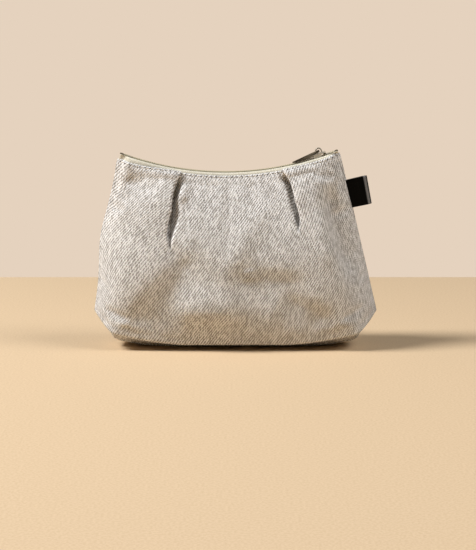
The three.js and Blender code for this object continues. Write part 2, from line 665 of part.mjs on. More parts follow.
// Zip
const tape = tapeGrid();
addPiece('zip_tape_front', sheet(tape, TAPE), tapeCloth);
addPiece('zip_tape_back', sheet(acrossMiddle(tape), TAPE), tapeCloth);
addPiece('zip_coil_front', sheet(coilGrid(0.25), COIL_HEIGHT), coilPlastic);
addPiece('zip_coil_back', sheet(acrossMiddle(coilGrid(0.75)), COIL_HEIGHT), coilPlastic);
const topStops = zipGroup(topStopAt);
const openTapeEdge = TAPE_EDGE + coilSpread;
addPiece('zip_top_stop_front', alongZip(clipShape(openTapeEdge, -1), STOP_LENGTH), castMetal, topStops);
addPiece('zip_top_stop_back', alongZip(clipShape(openTapeEdge, 1), STOP_LENGTH), castMetal, topStops);
const bottomStop = zipGroup(bottomStopAt - STOP_LENGTH);
addPiece('zip_bottom_stop', alongZip(bridgeShape(), STOP_LENGTH), castMetal, bottomStop);

// Slider at the closed end of the zip
addPiece('slider_body', sliderGeometry(), castMetal, zipGroup(sliderAt));
const pullAxis = zipGroup(sliderAt, pullAxisUp);
addPiece('slider_crown', crownGeometry(), castMetal, pullAxis);
addPiece('pull_tab', pullGeometry(), castMetal, pullAxis);

// Leather tab, square to the right side seam
const seamFoot = wallPoint(1, 0);
const seamTop = wallPoint(1, 1);
const tabShare = 1 - TAB_BELOW_CORNER / seamTop.distanceTo(seamFoot);
const seamLean = Math.atan2(seamFoot.x - seamTop.x, seamTop.z - seamFoot.z);
const tabGroup = new THREE.Group();
tabGroup.position.copy(wallPoint(1, tabShare)).setY(0);
tabGroup.rotation.y = -seamLean;
pouch.add(tabGroup);
addPiece('side_tab', tabGeometry().translate(CLOTH / 2 + LAYER_GAP, 0, 0), leather, tabGroup);

export default pouch;
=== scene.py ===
import math

import bpy
import numpy as np
from mathutils import Matrix, Vector


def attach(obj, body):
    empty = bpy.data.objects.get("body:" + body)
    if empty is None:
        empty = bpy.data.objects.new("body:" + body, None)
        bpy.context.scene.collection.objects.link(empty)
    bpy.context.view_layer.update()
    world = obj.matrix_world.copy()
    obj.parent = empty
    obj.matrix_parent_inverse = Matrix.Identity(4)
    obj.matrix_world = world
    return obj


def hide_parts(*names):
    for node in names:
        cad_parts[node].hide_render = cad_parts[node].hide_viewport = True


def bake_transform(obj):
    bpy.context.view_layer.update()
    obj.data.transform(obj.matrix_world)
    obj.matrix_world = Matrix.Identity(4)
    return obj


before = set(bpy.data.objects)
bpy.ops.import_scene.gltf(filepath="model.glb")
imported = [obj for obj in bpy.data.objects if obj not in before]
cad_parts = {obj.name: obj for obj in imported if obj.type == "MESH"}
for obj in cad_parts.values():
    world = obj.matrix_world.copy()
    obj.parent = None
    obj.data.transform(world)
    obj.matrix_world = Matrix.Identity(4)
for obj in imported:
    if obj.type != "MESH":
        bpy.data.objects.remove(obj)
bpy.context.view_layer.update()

# Sizes in millimetres, in the same frame as the solids: X to the right, front towards -Y, Z up
MM = 0.001

# Cloth body
BASE_LENGTH = 166.0
BASE_DEPTH = 50.0
BASE_EDGE_RISE = 4.2
BASE_BOW = 7.0  # the lower front edge lifts towards its corners
BASE_BOW_FROM = 35.0
BASE_END_LIFT = 5.0  # and so does the base itself
BASE_END_LIFT_FROM = 46.0
STANDING_DEPTH = 14.0
SEAM_FOOT_SPAN = 194.0
SEAM_FOOT_RISE = 19.8
CORNER_ROUNDING = 10.0
CORNER_FULLNESS = 0.6  # the lower corners are rounded outwards
BELLY = 15.0
BELLY_SKEW = 0.9
MOUTH_LEFT = 79.3  # top corners from the middle of the base
MOUTH_RIGHT = 70.4
MOUTH_GAP = 15.0
MOUTH_CLOSING = 9.0
LEFT_SIDE_BULGE = 3.4
LEFT_BULGE_HEIGHT = 0.5  # share of the wall's height
LEFT_BULGE_REACH = 0.22
CLOTH = 1.2
LINING = 0.7
SEAM_HALF = 0.3  # half of the doubled cloth at a side seam
HEM_RADIUS = 0.75
HEM_LEAST_RADIUS = 0.25  # near the side seams, where the two walls meet
HEM_CLEARANCE = 0.2
HEM_DEPTH = 2.5
LINING_INSET = 2.6  # lining behind the outer cloth, at its edges
LINING_SLACK = 6.5  # and further behind it in the middle
BASE_LINING_RISE = 1.9

# Pleats. Each fold's edge runs from mouth to foot, both measured from the middle, and curve says how
# soon it swings out. Hollow is the roundness inside the open fold, turn is how far the weave turns in
# the cloth outside it, and proud is how far the fold stands out of the wall. Opening pairs a distance
# below the mouth with the width over which the inner cloth sinks under the fold.
PLEATS = {
    -1: {
        "mouth": 32.9, "foot": 40.3, "curve": 4.2, "length": 49.5,
        "hollow": 1.9, "turn": 0.245, "proud": 3.2,
        "opening": (
            (0, 2.5), (5, 3.6), (10, 5.4), (14, 4.8), (18, 4.8), (23, 6.4),
            (28, 6.8), (32, 5.8), (36, 4), (41, 2.6), (46, 1.6), (50, 1.4),
        ),
    },
    1: {
        "mouth": 36.2, "foot": 44.2, "curve": 4.6, "length": 40.0,
        "hollow": 1.7, "turn": 0.33, "proud": 3.2,
        "opening": (
            (0, 3.2), (6, 5.6), (11, 4.6), (15, 5), (20, 4.8),
            (25, 3.6), (30, 2.4), (35, 1.8), (41, 1.5),
        ),
    },
}
PLEAT_LAP = 5.5
PLEAT_END_DRIFT = 0.7  # the last stretch of a fold leans outwards
OUTER_PUFF = 0.3  # radius that the hollow adds to the outer bend of an open fold
INNER_PUFF = 1.65  # and to its inner bend
PLEAT_POCKET = 5.0  # the lining is pushed in this far behind each open pleat
PLEAT_POCKET_WIDTH = 12.0
PLEAT_SEWN = 6.0  # top length that lies flat under the topstitching
PLEAT_OUTER_FADE = 24.0
FOLD_SLACK = 0.03  # air between the layers of a fold
FOLD_STEPS = 9
LAP_STEPS = 3
FOLD_JOIN = 0.6  # from a fold to the next column of plain cloth

# Zip
ZIP_RADIUS = 205.0
ZIP_LOW_LEFT = 7.2  # lowest point of the mouth, left of the middle of the base
ZIP_DIP_HEIGHT = 119.3
TAPE = 0.5
CLOTH_DROP = 2.2  # folded edge of the cloth below the zip, in the middle
CLOTH_DROP_LEFT = 4.2  # and at the two ends
CLOTH_DROP_RIGHT = 2.2
CLOTH_DROP_FROM = 38.0
TAPE_FLAT = 4.4
TAPE_FLAT_ENDS = 1.9
TAPE_EDGE = 1.0
TAPE_SEAM = 4.5
TAPE_INSET = 0.8  # ends of the tape and the coil from the top corners
COIL_INSET = 2.4
COIL_PITCH = 1.3
COIL_WIRE = 0.42
COIL_HALF_WIDTH = 1.3
COIL_MIDDLE = 0.85  # middle of a coil half from the middle of the zip
COIL_HALF_HEIGHT = 0.28
COIL_UP = 0.78
TACK_THREAD = 0.45
TACK_HALF_WIDTH = 1.7
TACK_HALF_HEIGHT = 0.55
SLIDER_AT = 66.484
SLIDER_LENGTH = 8.6
CAST_ROUNDING = 0.12
PULL_AXIS_UP = 4.5
PULL_SET_DOWN = 2.7
PULL_THINNED = 0.6
COIL_SPREAD = 1.35

# Topstitching along the mouth
STITCH_PITCH = 3.45
STITCH_LENGTH = 2.5
STITCH_BELOW_EDGE = 0.4
STITCH_RISE = 0.2  # middle of a stitch above the cloth
STITCH_SINK = 1.6  # its ends go down into the cloth by this much
THREAD = 0.5
THREAD_SIDES = 6
HOLE = 0.72  # reach of a needle hole's shade

# Leather tab
TAB_LENGTH = 14.2
TAB_HEIGHT = 19.5
TAB_LEATHER = 1.25
TAB_FOLD_GAP = 0.3
TAB_LOOP = 5.6  # across the rounded end of the fold
TAB_IN_SEAM = 1.5
TAB_CENTRE_HEIGHT = 105.0
TAB_PAINTED_HIGHLIGHT_AT = 2.5  # middle of the painted highlight line, from the fold
TAB_FLARE = 0.07  # its upper edge is longer than its lower edge by this share
TAB_TURN = math.radians(12.4)  # its upper edge from the level

# Fineness
ROWS = 120
OUTER_COLUMNS = 44
INNER_COLUMNS = 46
SETTLE_COLUMNS = 81
SETTLE_ROWS = 57
SETTLE_FRAMES = 28
SETTLE_SPARE = 0.012  # cloth that the wall has to spare, as a share of its size
SETTLE_PRESSURE = 5.0
SETTLE_START = 4.0  # the wall starts this much flatter, then swells
SETTLE_RIPPLE = 0.8
SETTLE_FURTHEST = 6.0

HALF_BASE = BASE_LENGTH / 2
FLAP_RUN = SEAM_FOOT_SPAN / 2 - HALF_BASE
FLAP_LENGTH = math.sqrt(FLAP_RUN ** 2 + SEAM_FOOT_RISE ** 2 + (BASE_DEPTH / 2) ** 2)
HALF_EDGE = HALF_BASE + FLAP_LENGTH
CORNER_AT = HALF_BASE / HALF_EDGE
ZIP_CENTRE_Z = ZIP_DIP_HEIGHT + ZIP_RADIUS
MOUTH_START = -ZIP_RADIUS * math.asin((MOUTH_LEFT - ZIP_LOW_LEFT) / ZIP_RADIUS)
MOUTH_END = ZIP_RADIUS * math.asin((MOUTH_RIGHT + ZIP_LOW_LEFT) / ZIP_RADIUS)
MOUTH_MIDDLE = (MOUTH_START + MOUTH_END) / 2
HALF_MOUTH = (MOUTH_END - MOUTH_START) / 2


def smooth(t):
    t = np.clip(t, 0, 1)
    return t * t * (3 - 2 * t)


def lerp(a, b, t):
    return a + (b - a) * t


def points(x, y, z):
    return np.stack(np.broadcast_arrays(x, y, z), axis=-1).astype(float)


def unit(vectors):
    return vectors / np.maximum(np.linalg.norm(vectors, axis=-1, keepdims=True), 1e-12)


# The pouch's surfaces

def on_zip(along, y, up):
    angle = np.asarray(along) / ZIP_RADIUS
    radius = ZIP_RADIUS - np.asarray(up)
    return points(radius * np.sin(angle) - ZIP_LOW_LEFT, y, ZIP_CENTRE_Z - radius * np.cos(angle))


def corner_ramp(a):
    rounding = CORNER_ROUNDING / 2 / HALF_EDGE
    past = a - CORNER_AT
    bent = np.maximum(past + rounding, 0) ** 2 / (4 * rounding)
    return np.where(past >= rounding, past, bent) / (1 - CORNER_AT)


def base_seam(u):
    ramp = corner_ramp(np.abs(u))
    x = HALF_EDGE * np.abs(u) - (HALF_EDGE - HALF_BASE - FLAP_RUN) * ramp
    y = -lerp(BASE_DEPTH / 2, SEAM_HALF, ramp)
    bow = np.clip((x - BASE_BOW_FROM) / (HALF_BASE - BASE_BOW_FROM), 0, 1) ** 1.5
    rise = lerp(BASE_EDGE_RISE + BASE_BOW * bow, BASE_EDGE_RISE + SEAM_FOOT_RISE, np.minimum(ramp, 1))
    round_end = np.sin(math.pi * np.minimum(ramp, 1))
    x = x + CORNER_FULLNESS * round_end
    z = CLOTH / 2 + rise - CORNER_FULLNESS / 2 * round_end
    return points(np.sign(u) * x, y, z)


def mouth_gap(along):
    closing = smooth((np.abs(along) - HALF_MOUTH + MOUTH_CLOSING) / MOUTH_CLOSING)
    return lerp(MOUTH_GAP / 2 + CLOTH / 2, SEAM_HALF, closing)


def hem_radius(gap):
    return np.clip((gap - HEM_CLEARANCE) / 2, HEM_LEAST_RADIUS, HEM_RADIUS)


def cloth_drop(along):
    ends = smooth((np.abs(along) - CLOTH_DROP_FROM) / (HALF_MOUTH - CLOTH_DROP_FROM))
    return lerp(CLOTH_DROP, np.where(along < 0, CLOTH_DROP_LEFT, CLOTH_DROP_RIGHT), ends)


def mouth_edge(u):
    along = u * HALF_MOUTH
    gap = mouth_gap(along)
    return on_zip(along + MOUTH_MIDDLE, -gap, -cloth_drop(along))


def wall(u, v, belly=BELLY):
    u, v = np.broadcast_arrays(np.asarray(u, float), np.asarray(v, float))
    place = lerp(base_seam(u), mouth_edge(u), v[..., None])
    place[..., 1] -= belly * np.sin(math.pi * v ** BELLY_SKEW) * (1 - u ** 4)
    near = np.exp(-((v - LEFT_BULGE_HEIGHT) / LEFT_BULGE_REACH) ** 2)
    place[..., 0] -= LEFT_SIDE_BULGE * near * np.clip(-u, 0, 1) ** 2
    return place


def base_surface(u, t):
    seam = base_seam(u)
    y = -seam[..., 1] * t
    beyond = np.maximum(np.abs(y) - STANDING_DEPTH / 2, 0)
    edge = np.maximum(-seam[..., 1] - STANDING_DEPTH / 2, CLOTH)
    curl = 1 - (1 - np.minimum(beyond / edge, 1)) ** 2
    ends = np.clip((np.abs(seam[..., 0]) - BASE_END_LIFT_FROM) / (HALF_BASE - BASE_END_LIFT_FROM), 0, 1)
    floor = lerp(CLOTH / 2 + BASE_END_LIFT * ends ** 2, seam[..., 2], curl)
    rising = smooth(corner_ramp(np.abs(u)) * 4)
    return points(seam[..., 0], y, lerp(floor, seam[..., 2], rising))


WALL_HEIGHT = float(np.linalg.norm(wall(0.0, 1.0) - wall(0.0, 0.0)))


# Making meshes from grids of points

def deselect():
    if bpy.context.object and bpy.context.object.mode != "OBJECT":
        bpy.ops.object.mode_set(mode="OBJECT")
    bpy.ops.object.select_all(action="DESELECT")


def make_active(piece):
    deselect()
    piece.select_set(True)
    bpy.context.view_layer.objects.active = piece


def grid_piece(name, grid, flat=None, closed=False):
    """A sheet from a grid of points in millimetres, with its flat cut as the UV map, in metres."""
    rows, columns = grid.shape[:2]
    index = np.arange(rows * columns).reshape(rows, columns)
    if closed:
        index = np.concatenate([index, index[:, :1]], axis=1)
    faces = np.stack([index[:-1, :-1], index[:-1, 1:], index[1:, 1:], index[1:, :-1]], axis=-1)
    mesh = bpy.data.meshes.new(name)
    mesh.from_pydata((grid.reshape(-1, 3) * MM).tolist(), [], faces.reshape(-1, 4).tolist())
    mesh.update()
    piece = bpy.data.objects.new(name, mesh)
    bpy.context.scene.collection.objects.link(piece)
    if flat is not None:
        add_map(piece, "flat_cut", flat)
    return piece


def add_map(piece, name, places):
    mesh = piece.data
    layer = mesh.uv_layers.new(name=name)
    corners = np.empty(len(mesh.loops), np.int64)
    mesh.loops.foreach_get("vertex_index", corners)
    layer.data.foreach_set("uv", (places.reshape(-1, 2)[corners] * MM).ravel())


def apply_modifier(piece, kind, **settings):
    make_active(piece)
    modifier = piece.modifiers.new(kind.lower(), kind)
    for key, value in settings.items():
        setattr(modifier, key, value)
    bpy.ops.object.modifier_apply(modifier=modifier.name)


def thicken(piece, thickness):
    apply_modifier(piece, "SOLIDIFY", thickness=thickness * MM, offset=0.0, use_rim=True)
    make_active(piece)
    bpy.ops.object.shade_smooth()


def across_middle(grid):
    turned = grid * np.array([1.0, -1.0, 1.0])
    return turned[:, ::-1]


def sheet_area(grid):
    across = grid[:-1, 1:] - grid[:-1, :-1]
    up = grid[1:, :-1] - grid[:-1, :-1]
    return float(np.linalg.norm(np.cross(across, up), axis=-1).sum()) * MM * MM


# Cloth that settles: the wall starts a little too large for its seams, so it buckles softly

def settle(name, start, spare, pressure):
    scale = 0.01  # the simulation runs at ten times the size
    piece = grid_piece(name, start * (scale / MM))
    rows, columns = start.shape[:2]
    column, row = np.meshgrid(np.arange(columns), np.arange(rows))
    border = (row <= 2) | (row >= rows - 4) | (column <= 1) | (column >= columns - 2)
    group = piece.vertex_groups.new(name="sewn")
    group.add(np.flatnonzero(border.ravel()).tolist(), 1.0, "REPLACE")
    cloth = piece.modifiers.new("cloth", "CLOTH")
    settings = cloth.settings
    settings.quality = 7
    settings.mass = 0.4
    settings.air_damping = 4.0
    settings.tension_stiffness = 20.0
    settings.compression_stiffness = 20.0
    settings.shear_stiffness = 8.0
    settings.bending_stiffness = 14.0
    settings.vertex_group_mass = "sewn"
    settings.shrink_min = -spare
    settings.use_pressure = True
    settings.uniform_pressure_force = pressure
    settings.effector_weights.gravity = 0.35
    cloth.collision_settings.use_self_collision = False
    cloth.collision_settings.use_collision = False
    scene = bpy.context.scene
    for number in range(1, SETTLE_FRAMES + 1):
        scene.frame_set(number)
    evaluated = piece.evaluated_get(bpy.context.evaluated_depsgraph_get())
    found = np.empty(rows * columns * 3)
    evaluated.data.vertices.foreach_get("co", found)
    scene.frame_set(1)
    bpy.data.objects.remove(piece, do_unlink=True)
    return found.reshape(rows, columns, 3) / scale


def settled_wall(seed):
    u, v = np.meshgrid(np.linspace(-1, 1, SETTLE_COLUMNS), np.linspace(0, 1, SETTLE_ROWS))
    start = wall(u, v, BELLY - SETTLE_START)
    ripple = np.sin(u * 9.1 + seed) * np.sin(v * 7.3 + 2.1 * seed) + np.sin(u * 4.7 - v * 5.9 + seed)
    inside = np.sin(math.pi * v) * (1 - u ** 4)
    start[..., 1] -= SETTLE_RIPPLE * ripple * inside
    moved = settle("wall_settling", start, SETTLE_SPARE, SETTLE_PRESSURE) - start
    distance = np.linalg.norm(moved, axis=-1, keepdims=True)
    return start + moved * np.minimum(1, SETTLE_FURTHEST / np.maximum(distance, 1e-9))


def sampled(grid, u, v):
    """Points of a settled wall at any u and v, on a smooth curve through its rows and columns."""
    rows, columns = grid.shape[:2]

    def taps(t, count):
        at = np.clip(t, 0, 1) * (count - 1)
        first = np.clip(np.floor(at).astype(int), 0, count - 2)
        f = at - first
        weights = [
            -0.5 * f + f ** 2 - 0.5 * f ** 3,
            1 - 2.5 * f ** 2 + 1.5 * f ** 3,
            0.5 * f + 2 * f ** 2 - 1.5 * f ** 3,
            -0.5 * f ** 2 + 0.5 * f ** 3,
        ]
        return [np.clip(first + k, 0, count - 1) for k in (-1, 0, 1, 2)], weights

    across, across_weights = taps((np.asarray(u) + 1) / 2, columns)
    up, up_weights = taps(np.asarray(v), rows)
    total = 0
    for r, row_weight in zip(up, up_weights):
        for c, column_weight in zip(across, across_weights):
            total = total + grid[r, c] * (row_weight * column_weight)[..., None]
    return total


def wall_frame(grid, u, v):
    step = 0.004
    across = sampled(grid, np.minimum(u + step, 1), v) - sampled(grid, np.maximum(u - step, -1), v)
    up = sampled(grid, u, np.minimum(v + step, 1)) - sampled(grid, u, np.maximum(v - step, 0))
    return unit(np.cross(across, up)), unit(up)


# Pleats

def pleat_section(pleat, share, below):
    """A pleat cut across: distance inwards from the fold's edge, height above the wall, cloth used."""
    left = max(1 - share, 0.0)
    turn = math.pi * left ** 0.3
    lap = PLEAT_LAP * left ** 1.3
    puff = pleat["hollow"] * math.sin(math.pi * min(share, 1.0) ** 0.85) ** 1.3
    outer_bend = math.pi * (CLOTH / 2 + FOLD_SLACK + OUTER_PUFF * puff)
    inner_bend = math.pi * (CLOTH / 2 + FOLD_SLACK + INNER_PUFF * puff)
    bend = [turn * (i + 0.5) / FOLD_STEPS for i in range(FOLD_STEPS)]
    headings = np.array(bend + [turn] * LAP_STEPS + bend[::-1])
    outer_steps = [outer_bend / FOLD_STEPS] * FOLD_STEPS
    lap_steps = [lap / LAP_STEPS + 0.1] * LAP_STEPS
    inner_steps = [inner_bend / FOLD_STEPS] * FOLD_STEPS
    ending = lerp(0.4, 1.0, min(left / 0.2, 1.0))
    lengths = ending * np.array(outer_steps + lap_steps + inner_steps)
    inward = np.concatenate([[0], np.cumsum(np.cos(headings) * lengths)])
    height = np.concatenate([[0], np.cumsum(-np.sin(headings) * lengths)])
    used = np.concatenate([[0], np.cumsum(lengths)])
    depth = -height[-1] + 0.01
    most = pleat["proud"] * float(smooth((1 - share) / 0.8)) + 0.05
    proud = 1 / math.hypot(1 / (0.8 * depth), 1 / most)
    lifted = lerp(depth, proud, float(smooth(below / PLEAT_SEWN)))
    return inward - inward.max(), height + lifted, used


def half_row(side, v):
    """Columns of one half of a wall at height v, from the side seam to the middle."""
    pleat = PLEATS[side]
    below = (1 - v) * WALL_HEIGHT
    share = below / pleat["length"]
    inward, height, used = pleat_section(pleat, share, below)
    half_width = lerp(HALF_EDGE, HALF_MOUTH, v)
    edge = lerp(pleat["foot"], pleat["mouth"], max(1 - share, 0.0) ** pleat["curve"])
    edge = edge + PLEAT_END_DRIFT * float(smooth((share - 0.7) / 0.3))
    fold = edge - inward
    outer_end = fold.max() + FOLD_JOIN
    inner_end = fold.min() - FOLD_JOIN
    outer = lerp(half_width, outer_end, np.linspace(0, 1, OUTER_COLUMNS) ** 0.85)
    inner = lerp(inner_end, 0.0, np.linspace(0, 1, INNER_COLUMNS) ** 1.25)
    outer_lift = height[0] * (1 - smooth((outer - outer_end) / PLEAT_OUTER_FADE))
    opening = np.interp(below, *zip(*pleat["opening"]))
    inner_lift = height[-1] * (1 - smooth((inner_end - inner) / opening))
    across = np.concatenate([outer, fold, inner])
    lift = np.concatenate([outer_lift, height, inner_lift])
    left = pleat["turn"] * (pleat["length"] - below)
    taken = (left + math.hypot(left, 2.5)) / 2
    spread = taken + fold[0] - fold[-1]
    hidden = smooth((used / used[-1] - 0.2) / 0.8)
    folded = fold[-1] + spread - used + (used[-1] - spread) * hidden
    flat = np.concatenate([outer + taken, folded, inner])
    return side * across / half_width, lift, side * flat


def stitch_along(u):
    return u * HALF_MOUTH


def stitch_dent(u, below_edge):
    """Groove along the topstitching, deeper at each needle hole."""
    phase = stitch_along(u) / STITCH_PITCH
    holes = np.cos(math.pi * phase) ** 8
    groove = np.exp(-((below_edge - STITCH_BELOW_EDGE) / 0.9) ** 2)
    return groove * (0.25 + 0.4 * holes)


# Soft creases and, with a negative depth, swells. Each runs from x, z to x, z on the wall and has
# two half widths, on its upper side and on its lower side, and a depth.
CREASES = [
    (-46.0, 119.0, -90.0, 114.0, 8.0, 12.0, 4.0),
    (60.0, 118.0, 84.0, 44.0, 7.0, 6.0, 6.5),
    (-16.0, 72.0, -84.0, 2.0, 9.0, 20.0, 4.6),
    (56.0, 45.0, -10.0, 50.0, 8.0, 18.0, 3.8),
    (72.0, 17.0, 28.0, 38.0, 7.0, 14.0, 3.4),
    (14.0, 28.0, -48.0, 30.0, 14.0, 9.0, -3.8),
    (8.0, 58.0, 10.0, 48.0, 4.0, 4.0, -1.6),
    (25.0, 108.0, -14.0, 42.0, 9.0, 9.0, -2.0),
    (-46.0, 76.0, -32.0, 52.0, 5.0, 5.0, 1.6),
    (-33.0, 116.0, -36.0, 99.0, 4.0, 4.0, -1.6),
    (53.0, 100.0, 63.0, 52.0, 6.0, 6.0, -1.4),
]
CREASE_FADE = 16.0  # creases end this far from the mouth and the base seam


def crease_depth(place, u, v):
    depth = np.zeros(place.shape[:-1])
    x, z = place[..., 0], place[..., 2]
    for x0, z0, x1, z1, upper, lower, deep in CREASES:
        length = math.hypot(x1 - x0, z1 - z0)
        dx, dz = (x1 - x0) / length, (z1 - z0) / length
        along = ((x - x0) * dx + (z - z0) * dz) / length
        away = (x - x0) * dz - (z - z0) * dx
        fade = smooth(1.5 - 3 * np.abs(along - 0.5))
        depth += deep * fade * np.exp(-(away / np.where(away > 0, upper, lower)) ** 2)
    clear = np.minimum(v, 1 - v) * WALL_HEIGHT / CREASE_FADE
    return depth * smooth(clear) * (1 - u ** 8)


def wall_cloth_grid(settled):
    heights = np.linspace(0, 1, ROWS)
    rows = []
    for v in heights:
        left = half_row(-1, v)
        right = half_row(1, v)
        rows.append([np.concatenate([a, b[::-1][1:]]) for a, b in zip(left, right)])
    u = np.array([row[0] for row in rows])
    lift = np.array([row[1] for row in rows])
    flat_x = np.array([row[2] for row in rows])
    v = np.broadcast_to(heights[:, None], u.shape)
    place = sampled(settled, u, v)
    out, up = wall_frame(settled, u, v)
    below_edge = (1 - v) * WALL_HEIGHT
    lift = lift - stitch_dent(u, below_edge) - crease_depth(place, u, v)
    grid = place + out * lift[..., None]
    flat = np.stack([flat_x, v * WALL_HEIGHT], axis=-1)
    # The top edge turns in over the tape
    hem, hem_flat = [], []
    edge, edge_out, edge_up = grid[-1], out[-1], up[-1]
    radius = hem_radius(mouth_gap(stitch_along(u[-1])))[:, None]
    for turn in np.radians([45, 90, 135, 180]):
        hem.append(edge - edge_out * radius * (1 - math.cos(turn)) + edge_up * radius * math.sin(turn))
        hem_flat.append(flat[-1] + np.array([0, HEM_RADIUS * turn]))
    hem.append(hem[-1] - edge_up * HEM_DEPTH)
    hem_flat.append(hem_flat[-1] + np.array([0, HEM_DEPTH]))
    stitch_rows = np.concatenate([below_edge, np.full((len(hem), u.shape[1]), -1.0)])
    columns = np.concatenate([u, np.repeat(u[-1:], len(hem), 0)])
    stitch_map = np.stack([stitch_along(columns), stitch_rows], axis=-1)
    return np.concatenate([grid, hem]), np.concatenate([flat, hem_flat]), stitch_map


def wall_cloth(name, settled, back):
    grid, flat, stitch_map = wall_cloth_grid(settled)
    area = sheet_area(grid)
    if back:
        grid = across_middle(grid)
        flat = flat[:, ::-1] * np.array([-1.0, 1.0])
        stitch_map = stitch_map[:, ::-1]
    piece = grid_piece(name, grid, flat)
    add_map(piece, "stitch_line", stitch_map)
    thicken(piece, CLOTH)
    return piece, area


def wall_lining(name, settled, back):
    u, v = np.meshgrid(np.linspace(-0.965, 0.965, 72), np.linspace(0.02, 0.978, 48))
    out, _ = wall_frame(settled, u, v)
    inset = LINING_INSET + LINING_SLACK * smooth((1 - v) / 0.12) * smooth(v / 0.15) * (1 - u ** 8)
    for side, pleat in PLEATS.items():
        across = (u * HALF_EDGE - side * pleat["foot"]) / PLEAT_POCKET_WIDTH
        down = ((1 - v) * WALL_HEIGHT / pleat["length"] - 0.5) / 0.32
        inset = inset + PLEAT_POCKET * np.exp(-across ** 2 - down ** 2)
    grid = sampled(settled, u, v) - out * inset[..., None]
    flat = np.stack([u * HALF_EDGE, v * WALL_HEIGHT], axis=-1)
    area = sheet_area(grid)
    if back:
        grid, flat = across_middle(grid), flat[:, ::-1]
    piece = grid_piece(name, grid, flat)
    thicken(piece, LINING)
    return piece, area


def base_sheet(name, end, side, rise, thickness):
    u, t = np.meshgrid(np.linspace(-end, end, 140), np.linspace(-side, side, 44))
    step = 0.003
    along = base_surface(u + step, t) - base_surface(u - step, t)
    across = base_surface(u, t + step) - base_surface(u, t - step)
    grid = base_surface(u, t) + unit(np.cross(along, across)) * rise
    flat = np.stack([u * HALF_EDGE, t * BASE_DEPTH / 2], axis=-1)
    area = sheet_area(grid)
    piece = grid_piece(name, grid, flat)
    thicken(piece, thickness)
    return piece, area


# Zip

def coil_opening(along):
    return COIL_SPREAD * smooth((along - SLIDER_AT + 1) / (SLIDER_LENGTH / 2))


def zip_tape(name, back):
    """Tape from inside the cloth's hem up over its edge and flat to the coil."""
    along = np.linspace(MOUTH_START + TAPE_INSET, MOUTH_END - TAPE_INSET, 160)
    gap = mouth_gap(along - MOUTH_MIDDLE)
    drop = cloth_drop(along - MOUTH_MIDDLE)
    sewn = np.maximum(gap - 2 * hem_radius(gap) - CLOTH / 2 - TAPE, 0.35)
    ends = smooth((np.abs(along - MOUTH_MIDDLE) - HALF_MOUTH + 16) / 13)
    flat_edge = lerp(TAPE_FLAT, TAPE_FLAT_ENDS, ends)
    inner = np.minimum(TAPE_EDGE + coil_opening(along), flat_edge - 0.4)
    rows = [on_zip(along, -sewn, -drop - TAPE_SEAM * t) for t in (1.0, 0.5)]
    for t in np.linspace(0, 1, 9):
        y = (1 - t) ** 2 * sewn + 2 * t * (1 - t) * np.maximum(sewn, 0.6 * flat_edge) + t * t * flat_edge
        up = -(1 - t) ** 2 * drop
        rows.append(on_zip(along, -y, up))
    rows += [on_zip(along, -lerp(flat_edge, inner, t), 0) for t in (0.35, 0.7, 1.0)]
    grid = np.array(rows)
    middle = grid[:, len(along) // 2]
    across = np.concatenate([[0], np.cumsum(np.linalg.norm(np.diff(middle, axis=0), axis=-1))])
    flat = np.stack(np.broadcast_arrays(along[None, :], across[:, None]), axis=-1)
    area = sheet_area(grid)
    if back:
        grid, flat = across_middle(grid), flat[:, ::-1]
    piece = grid_piece(name, grid, flat)
    thicken(piece, TAPE)
    return piece, area


def zip_coil(name, back):
    steps_per_turn = 10
    turns = int((2 * HALF_MOUTH - 2 * COIL_INSET) / COIL_PITCH) - 1
    t = np.arange(turns * steps_per_turn + 1) / steps_per_turn
    along = MOUTH_START + COIL_INSET + COIL_PITCH * (t + (0.75 if back else 0.25))
    angle = 2 * math.pi * t
    y = -COIL_MIDDLE - coil_opening(along) + COIL_HALF_WIDTH * np.cos(angle)
    up = COIL_UP + COIL_HALF_HEIGHT * np.sin(angle)
    path = on_zip(along, -y if back else y, up)
    return wound_tube(name, path, COIL_WIRE, THREAD_SIDES)


def wound_tube(name, path, thickness, sides):
    tangent = unit(np.gradient(path, axis=0))
    side = unit(np.cross(tangent, np.array([1.0, 0, 0])))
    normal = np.cross(side, tangent)
    ring = np.linspace(0, 2 * math.pi, sides, endpoint=False)
    circle = np.cos(ring)[None, :, None] * side[:, None] + np.sin(ring)[None, :, None] * normal[:, None]
    piece = grid_piece(name, path[:, None] + circle * thickness / 2, closed=True)
    close_ends(piece, sides)
    return piece


def close_ends(piece, sides):
    make_active(piece)
    bpy.ops.object.mode_set(mode="EDIT")
    bpy.ops.mesh.select_all(action="SELECT")
    bpy.ops.mesh.fill_holes(sides=sides)
    bpy.ops.mesh.select_all(action="SELECT")
    bpy.ops.mesh.normals_make_consistent(inside=False)
    bpy.ops.object.mode_set(mode="OBJECT")
    bpy.ops.object.shade_smooth()


def bar_tack(name, along, length):
    """Thread wound over both tapes at an end of the zip."""
    turns = int(length / TACK_THREAD)
    t = np.arange(turns * 12 + 1) / 12
    angle = 2 * math.pi * t
    place = along + length * (t / turns - 0.5)
    swell = np.sqrt(np.maximum(1 - (2 * t / turns - 1) ** 4, 0.2))
    y = TACK_HALF_WIDTH * swell * np.cos(angle)
    path = on_zip(place, y, 0.5 + TACK_HALF_HEIGHT * swell * np.sin(angle))
    return wound_tube(name, path, TACK_THREAD, THREAD_SIDES)


# Topstitching: one thread from hole to hole, copied along the mouth

